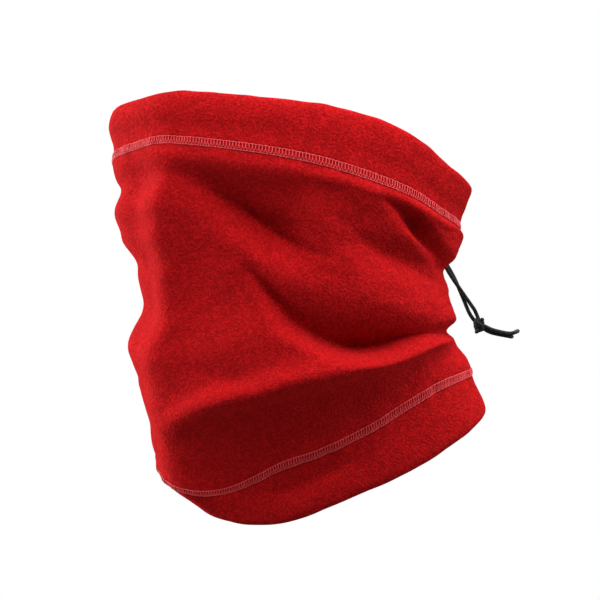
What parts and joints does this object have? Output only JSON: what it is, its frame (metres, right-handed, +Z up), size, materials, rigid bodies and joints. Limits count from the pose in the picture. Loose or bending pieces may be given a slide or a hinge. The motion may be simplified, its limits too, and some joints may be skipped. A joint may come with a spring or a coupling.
{
  "type": "neck gaiter",
  "caption": "Fleece tube worn round the neck and lower face, with turned hems and an elastic drawcord with a sprung cord lock at the nape.",
  "frame": {"origin": "on the neck's axis, in the middle of the neck opening, level with the lowest point of the bottom hem", "axes": "+Z up the neck, the wearer faces -Y, the nape and the drawcord are at +Y"},
  "size_m": [0.1473, 0.2367, 0.2341],
  "materials": {
    "fleece": "napped polar fleece",
    "thread": "textured polyester thread",
    "drawcord": "braided polyester over rubber",
    "eyelet": "black oxidised brass",
    "lock": "fine moulded texture",
    "spring": "drawn wire"
  },
  "bodies": {
    "gaiter": {"fleece_tube": "fleece", "top_hem_needle_thread_upper": "thread", "top_hem_needle_thread_lower": "thread", "top_hem_looper_thread": "thread", "bottom_hem_needle_thread_upper": "thread", "bottom_hem_needle_thread_lower": "thread", "bottom_hem_looper_thread": "thread", "back_seam_thread": "thread", "drawcord_channel_run": "drawcord", "eyelet_left": "eyelet", "eyelet_right": "eyelet", "eyelet_washer_left": "eyelet", "eyelet_washer_right": "eyelet"},
    "drawcord": {"drawcord_strand_left": "drawcord", "drawcord_strand_right": "drawcord", "drawcord_knot": "drawcord", "drawcord_tail_left": "drawcord", "drawcord_tail_right": "drawcord"},
    "cord_lock": {"cord_lock_body": "lock", "cord_lock_spring": "spring"},
    "lock_button": {"cord_lock_plunger": "lock"}
  },
  "joints": [
    {"name": "cord_swing", "type": "hinge", "parent": "gaiter", "child": "drawcord", "pos_m": [-0.00747, 0.07577, 0.16971], "axis": [0.839, 0.5441, 0.0021], "range_deg": [0, 60]},
    {"name": "lock_slide", "type": "slide", "parent": "drawcord", "child": "cord_lock", "axis": [0.2477, 0.4291, -0.8686], "range_m": [0, 0.018]},
    {"name": "button_press", "type": "slide", "parent": "cord_lock", "child": "lock_button", "axis": [-0.4343, -0.7523, -0.4955], "range_m": [0, 0.003], "stiffness_N_per_m": 300, "springref_m": -0.002, "deforming": ["cord_lock_spring"]}
  ]
}
